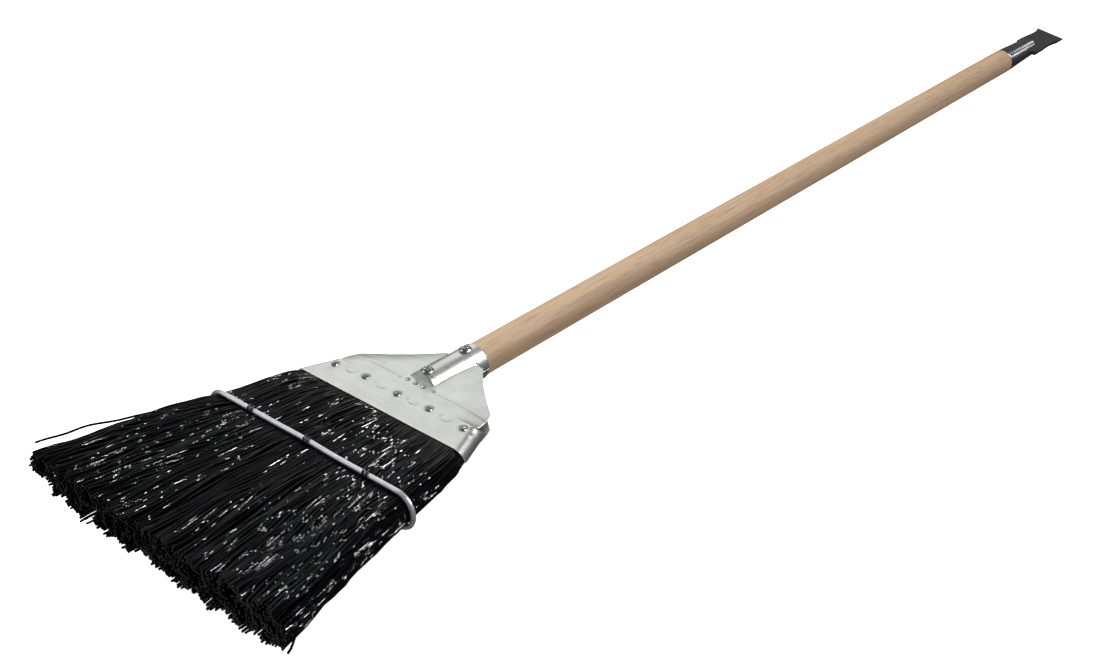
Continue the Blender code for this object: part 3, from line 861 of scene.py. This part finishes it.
def tie_bmesh(y):
    """Two turns of thin wire, tight over the band in front and behind, the ends twisted together in front."""
    tight = BAND_WIRE + TIE_WIRE + 0.08
    top = BAND_HALF_THICKNESS
    front = [(a, b + top) for a, b in arc((0, 0), tight, 200, -20, 14)]
    back = [(a, b - top) for a, b in arc((0, 0), tight, -20, -160, 12)]
    loop = front + back
    turns = 2
    lead = 4.0 * TIE_WIRE
    path = []
    for turn in range(turns):
        for i, (dx, dz) in enumerate(loop):
            share = turn + i / len(loop)
            path.append((BAND_X + dx, y + lead * (share - turns / 2) + 0.1 * math.sin(7 * share), dz))
    path = path[:-len(back)]
    start, end = path[0], path[-1]
    path.insert(0, (start[0] - 0.5, start[1] - 0.3, start[2] - 3.0))
    path.append((end[0] + 0.5, end[1] + 0.3, end[2] - 3.0))
    bm = tube_bmesh(path, TIE_WIRE, 10)
    twist = []
    for i in range(15):
        angle = i * 1.1
        twist.append((BAND_X + tight + 0.2 + 0.112 * i, y + 1.6 + 0.45 * math.cos(angle) + 0.1 * i,
                      top - 0.4 + 0.45 * math.sin(angle) - 0.05 * i))
    merge_bmesh(bm, tube_bmesh(twist, TIE_WIRE * 0.95, 10))
    return bm


# ---- bristles


class Waves:
    """A smooth random function of three coordinates: a sum of sine waves with seeded directions."""

    def __init__(self, rng, lengths, count=14):
        directions = rng.normal(size=(count, 3))
        directions /= np.linalg.norm(directions, axis=1)[:, None]
        self.steps = directions * math.tau / np.array(lengths) * rng.uniform(0.6, 1.5, (count, 1))
        self.phases = rng.uniform(0, math.tau, count)
        self.scale = math.sqrt(2 / count)

    def __call__(self, x, y, z):
        total = np.zeros(np.broadcast(x, y, z).shape)
        for (kx, ky, kz), phase in zip(self.steps, self.phases):
            total += np.sin(kx * x + ky * y + kz * z + phase)
        return total * self.scale


def bristle_seeds(rng):
    """Where each bristle ends, across the tips: a jittered honeycomb inside a flat oval, as (y, z)."""
    left, right = OUTLINE_LEFT[0], OUTLINE_RIGHT[0]
    thick = OUTLINE_THICK[0]
    seeds = []
    row_step = BRISTLE_PITCH * math.sqrt(3) / 2
    rows = int(2 * thick / row_step)
    for row in range(rows + 1):
        z = -thick + BRISTLE_RADIUS + (2 * thick - 2 * BRISTLE_RADIUS) * row / rows
        inset = thick - math.sqrt(max(0, thick ** 2 - z ** 2))
        low, high = -right + BRISTLE_RADIUS + inset, left - BRISTLE_RADIUS - inset
        count = int((high - low) / BRISTLE_PITCH)
        for i in range(count + 1):
            shift = 0.5 * (row % 2) - 0.25
            y = low + (high - low) * min(1, max(0, (i + shift) / count))
            seeds.append((y, z))
    seeds = np.array(seeds)
    seeds += rng.normal(size=seeds.shape) * (0.38, 0.30)
    return seeds


def share_across(seeds):
    """How far across the head each seed is, from -1 at the right side to 1 at the left."""
    return np.where(seeds[:, 0] > 0, seeds[:, 0] / OUTLINE_LEFT[0], seeds[:, 0] / OUTLINE_RIGHT[0])


def crimp(phase):
    """A rounded zigzag between -1 and 1."""
    return (np.sin(phase) - np.sin(3 * phase) / 9) * 0.9


def bristle_lines(seeds, stations, rng, clumps, lift):
    """Centre lines of the bristles: an array (bristle, station, 3)."""
    count = len(seeds)
    share_y = share_across(seeds)
    share_z = seeds[:, 1] / OUTLINE_THICK[0]
    length = TIP_X + clumps(TIP_X, seeds[:, 0] * 1.4, seeds[:, 1]) * 1.6 + rng.normal(size=count) * 0.55
    length -= 2.2 * rng.beta(1, 9, count)
    # Shorter behind, at the left corner
    length += 9.0 * smooth_step(88, 138, seeds[:, 0]) * smooth_step(6, -12, seeds[:, 1])
    x = stations[None, :] * np.ones((count, 1))
    from_tip = np.clip((stations - stations[0]) / 60, 0, 1)
    x += (length - TIP_X)[:, None] * (1 - from_tip)[None, :]
    left = np.interp(x, OUTLINE_X, OUTLINE_LEFT)
    right = np.interp(x, OUTLINE_X, OUTLINE_RIGHT)
    thick = np.interp(x, OUTLINE_X, OUTLINE_THICK)
    y = share_y[:, None] * np.where(share_y[:, None] > 0, left, right)
    z = share_z[:, None] * thick
    free = smooth_step(-66, -150, x) + 0.45 * smooth_step(-2, -30, x) * smooth_step(-66, -40, x)
    inside = 1 - 0.75 * np.abs(share_y[:, None]) ** 6
    y = y + clumps(x, y, z) * 2.3 * free * inside
    z = z + lift(x, y, z) * 0.8 * free
    wave = rng.uniform(*CRIMP_WAVES, (count, 1))
    size = rng.uniform(*CRIMP_HEIGHTS, (count, 1))
    lean = rng.uniform(0, math.pi, (count, 1))
    phase = rng.uniform(0, math.tau, (count, 1))
    loose = 0.25 + 0.75 * smooth_step(5, -14, x) * (1 - 0.5 * np.exp(-((x - BAND_X) / 7) ** 2))
    offset = crimp(math.tau * x / wave + phase) * size * loose
    second = crimp(math.tau * x / (wave * 1.37) + 2 * phase) * size * 0.45 * loose
    y = y + offset * np.cos(lean) + second * np.sin(lean)
    z = z + offset * np.sin(lean) * 0.8 + second * np.cos(lean)
    limit = thick + 0.9
    z = np.clip(z, -limit, limit)
    return np.stack([x, y, z], axis=-1)


def tubes_mesh(name, lines, radii, sides, looks):
    """One mesh of round bristles along the lines, each with a cut face at its tip and at its root."""
    count, stations, _ = lines.shape
    tangent = np.gradient(lines, axis=1)
    tangent /= np.linalg.norm(tangent, axis=2)[:, :, None]
    across = np.cross(np.broadcast_to((0.0, 0.0, 1.0), tangent.shape), tangent)
    across /= np.linalg.norm(across, axis=2)[:, :, None]
    above = np.cross(tangent, across)
    angles = math.tau * np.arange(sides) / sides
    ring = (across[:, :, None, :] * np.cos(angles)[None, None, :, None]
            + above[:, :, None, :] * np.sin(angles)[None, None, :, None])
    points = lines[:, :, None, :] + ring * radii[:, None, None, None]
    points = points.reshape(-1, 3)
    start = (np.arange(count) * stations * sides)[:, None, None]
    low = start + (np.arange(stations - 1) * sides)[None, :, None] + np.arange(sides)[None, None, :]
    following = start + (np.arange(stations - 1) * sides)[None, :, None]
    following = following + (np.arange(sides) + 1)[None, None, :] % sides
    quads = np.stack([low, following, following + sides, low + sides], axis=-1).reshape(-1, 4)
    first = np.arange(count)[:, None] * stations * sides
    tips = first + np.arange(sides)[None, ::-1]
    roots = first + (stations - 1) * sides + np.arange(sides)[None, :]
    caps = np.concatenate([tips, roots])
    corners = np.concatenate([quads.ravel(), caps.ravel()])
    sizes = np.concatenate([np.full(len(quads), 4), np.full(len(caps), sides)])
    mesh = bpy.data.meshes.new(name)
    mesh.vertices.add(len(points))
    place = points * MM + np.array(ORIGIN)
    mesh.vertices.foreach_set("co", place.astype(np.float32).ravel())
    mesh.loops.add(len(corners))
    mesh.loops.foreach_set("vertex_index", corners.astype(np.int32))
    mesh.polygons.add(len(sizes))
    starts = np.concatenate([[0], np.cumsum(sizes)[:-1]])
    mesh.polygons.foreach_set("loop_start", starts.astype(np.int32))
    for look in looks:
        mesh.materials.append(look)
    finish = np.concatenate([np.zeros(len(quads)), np.ones(len(caps))]).astype(np.int32)
    mesh.polygons.foreach_set("material_index", finish)
    mesh.update(calc_edges=True)
    mesh.validate()
    shade(mesh, 70)
    return linked(name, mesh)


def bend_with_bristles(piece):
    """Bakes the piece's placement into its mesh."""
    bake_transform(piece)


def build_bristles(looks, rng):
    """Four bundles, as in the CAD: the outer bristles finely modelled, the hidden ones with fewer points."""
    clumps = Waves(rng, (150, 15, 22))
    lift = Waves(rng, (130, 18, 16))
    seeds = bristle_seeds(rng)
    share_y = share_across(seeds)
    depth_z = 1 - np.abs(seeds[:, 1]) / OUTLINE_THICK[0]
    depth_y = (1 - np.abs(share_y)) * 10
    outer = np.minimum(depth_z, depth_y) < OUTER_SHARE
    fine = np.linspace(TIP_X, ROOT_X, 60)
    coarse = np.linspace(TIP_X, ROOT_X, 22)
    bundles = np.digitize(share_y, BUNDLE_SHARES) + 1
    for number in range(1, len(BUNDLE_SHARES) + 2):
        here = bundles == number
        for label, chosen, stations, sides in (("outer", here & outer, fine, 6),
                                               ("inner", here & ~outer, coarse, 5)):
            lines = bristle_lines(seeds[chosen], stations, rng, clumps, lift)
            radii = BRISTLE_RADIUS * rng.uniform(0.88, 1.1, len(lines))
            piece = tubes_mesh("bristles_%s_%d" % (label, number), lines, radii, sides, looks)
            bend_with_bristles(piece)
            if label == "outer":
                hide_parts("bristles_upper_%d" % number, "bristles_lower_%d" % number)
            elif number == 1:
                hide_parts("bristle_root")
    build_strays(looks, rng)


def build_strays(looks, rng):
    """Bristles that have sprung out of the bundle, mostly at its left corner."""
    stations = np.linspace(TIP_X, ROOT_X, 60)
    lines = []
    for x, y, z, leave in STRAYS:
        widths = OUTLINE_LEFT if y > 0 else OUTLINE_RIGHT
        edge = np.interp(stations, OUTLINE_X, widths) - 1.6
        thick = np.interp(stations, OUTLINE_X, OUTLINE_THICK)
        share = min(1, abs(y) / widths[0])
        inset = 0
        if share > 0.9:
            inset = thick[0] - math.sqrt(thick[0] ** 2 - min(abs(z), thick[0] - 1) ** 2)
        inside = math.copysign(1, y) * (edge * share - inset)
        away = smooth_step(leave, x, stations)
        path_y = inside + (y - inside[0]) * away
        path_z = np.clip(z / thick[0], -0.9, 0.9) * thick * (1 - away) + z * away
        path_x = stations + (x - TIP_X) * smooth_step(-80, TIP_X, stations)
        phase = rng.uniform(0, math.tau)
        wave = rng.uniform(32, 42)
        loose = 0.25 + 0.75 * away
        path_y = path_y + crimp(math.tau * stations / wave + phase) * 1.0 * loose
        path_z = path_z + crimp(math.tau * stations / wave + phase + 1) * 0.5 * loose
        lines.append(np.stack([path_x, path_y, path_z], axis=-1))
    lines = np.array(lines)
    piece = tubes_mesh("bristles_stray", lines, np.full(len(lines), BRISTLE_RADIUS), 8, looks)
    bend_with_bristles(piece)


# ---- studio


def area_light(name, centre, direction, distance, size, radiance):
    """A rectangular lamp that faces the centre from that direction, its first side level round the X axis."""
    toward = Vector(direction).normalized()
    data = bpy.data.lights.new(name, "AREA")
    data.shape = "RECTANGLE"
    data.size, data.size_y = size
    data.energy = radiance * math.pi * size[0] * size[1]
    lamp = linked(name, data)
    level = Vector((1, 0, 0)).cross(toward).normalized()
    turn = Matrix((level, toward.cross(level), toward)).transposed().to_4x4()
    lamp.matrix_world = Matrix.Translation(centre + toward * distance) @ turn
    lamp.visible_camera = False
    return lamp


def build_lights():
    """Softboxes for the steel to mirror, strips that give only glints, and a broad light from above."""
    for name, (centre, direction, distance, size, radiance) in SOFTBOXES.items():
        area_light(name, centre, direction, distance, size, radiance)
    for name, (centre, direction, distance, size, radiance) in STRIPS.items():
        area_light(name, centre, direction, distance, size, radiance).visible_diffuse = False
    area_light("top", Vector((0, 0, 0)), (0.0, 0.05, 1.0), 2.3, (2.6, 2.2), 2.15).visible_glossy = False


def build_world():
    """White to the camera, an even grey to matte surfaces, and a sky for the others to mirror."""
    world = bpy.data.worlds.new("studio")
    world.use_nodes = True
    nodes, links = world.node_tree.nodes, world.node_tree.links
    nodes.clear()
    place = nodes.new("ShaderNodeTexCoord")
    split = nodes.new("ShaderNodeSeparateXYZ")
    links.new(place.outputs["Generated"], split.inputs[0])
    height = nodes.new("ShaderNodeMapRange")
    height.inputs["From Min"].default_value = -1
    links.new(split.outputs["Z"], height.inputs["Value"])
    grey_scale = nodes.new("ShaderNodeValToRGB")
    elements = grey_scale.color_ramp.elements
    for position, grey in SKY:
        element = elements.new(position)
        element.color = (grey, grey, grey * 1.03, 1)
    elements[0].color = (0.01, 0.01, 0.01, 1)
    elements[-1].color = (0.07, 0.07, 0.073, 1)
    links.new(height.outputs[0], grey_scale.inputs["Fac"])
    sky, fill, white = (nodes.new("ShaderNodeBackground") for _ in range(3))
    links.new(grey_scale.outputs["Color"], sky.inputs["Color"])
    fill.inputs["Color"].default_value = (0.62, 0.62, 0.625, 1)
    white.inputs["Color"].default_value = (1, 1, 0.985, 1)
    path = nodes.new("ShaderNodeLightPath")
    seen = sky
    for ray, background in (("Is Diffuse Ray", fill), ("Is Camera Ray", white)):
        choose = nodes.new("ShaderNodeMixShader")
        links.new(path.outputs[ray], choose.inputs[0])
        links.new(seen.outputs[0], choose.inputs[1])
        links.new(background.outputs[0], choose.inputs[2])
        seen = choose
    out = nodes.new("ShaderNodeOutputWorld")
    links.new(seen.outputs[0], out.inputs["Surface"])
    bpy.context.scene.world = world


def build_floor():
    """A pale floor just below the reach of the bent bristles, bright enough to take only a faint shadow."""
    bm = bmesh.new()
    bmesh.ops.create_grid(bm, x_segments=1, y_segments=1, size=12)
    floor = linked("floor", mesh_of("floor", bm))
    floor.location = (0, 0, FLOOR_Z)
    floor.visible_glossy = False
    floor.visible_diffuse = False
    m = Nodes("floor_paper")
    grain = m.noise(m.place, 400.0, 2.0, 0.5)
    m.feed("Base Color", m.ramp(grain, (0.3, (0.90, 0.90, 0.89)), (0.7, (0.93, 0.93, 0.92))))
    m.set(Roughness=0.9, Emission_Color=(1, 1, 0.99, 1), Emission_Strength=0.97)
    floor.data.materials.append(m.material)


def build_camera():
    """The photographer's place: in front of the head's left corner, looking down along the handle."""
    yaw, pitch, roll = (math.radians(angle) for angle in CAMERA_TURN)
    forward = Vector((math.cos(pitch) * math.cos(yaw), math.cos(pitch) * math.sin(yaw), -math.sin(pitch)))
    level = Vector((math.sin(yaw), -math.cos(yaw), 0))
    upward = level.cross(forward)
    right = math.cos(roll) * level + math.sin(roll) * upward
    top = -math.sin(roll) * level + math.cos(roll) * upward
    data = bpy.data.cameras.new("camera")
    data.sensor_width = 36
    data.lens = CAMERA_LENS
    data.clip_start = 0.05
    camera = linked("camera", data)
    turn = Matrix((right, top, -forward)).transposed().to_4x4()
    camera.matrix_world = Matrix.Translation(Vector(CAMERA_PLACE) + ORIGIN) @ turn
    bpy.context.scene.camera = camera


def main():
    rng = np.random.default_rng(SEED)
    bpy.context.scene.view_settings.view_transform = "Standard"
    wood = wood_material()
    zinc = galvanised_material()
    # The pale cut-edge colour is a painted highlight along the sheet's edges
    cut = cut_edge_highlight_material()
    bright = steel_material("bright_steel", ((0.50, 0.50, 0.49), (0.66, 0.66, 0.64)), (0.16, 0.30))
    wire = steel_material("band_wire", ((0.70, 0.71, 0.72), (0.82, 0.83, 0.84)), (0.22, 0.32),
                          metallic=0.72, line_scale=(900, 60, 900))
    nail = steel_material("nail_steel", ((0.20, 0.20, 0.195), (0.38, 0.38, 0.365)), (0.24, 0.38))
    tie = steel_material("tie_wire", ((0.055, 0.055, 0.06), (0.12, 0.12, 0.125)), (0.18, 0.32))
    dark = steel_material("ferrule_steel", ((0.28, 0.285, 0.31), (0.38, 0.385, 0.41)), (0.18, 0.30))
    build_cap_sheet("cap_sheet_front", "cap_front", zinc, cut, True)
    build_cap_sheet("cap_sheet_back", "cap_back", zinc, cut, False)
    build_screws(bright)
    build_nails(nail, rng)
    build_handle(wood)
    build_ferrule(dark, bright)
    build_blade(blade_material())
    build_band(wire, tie)
    build_bristles((bristle_material(), bristle_end_material()), rng)
    build_world()
    build_lights()
    build_floor()
    build_camera()


main()
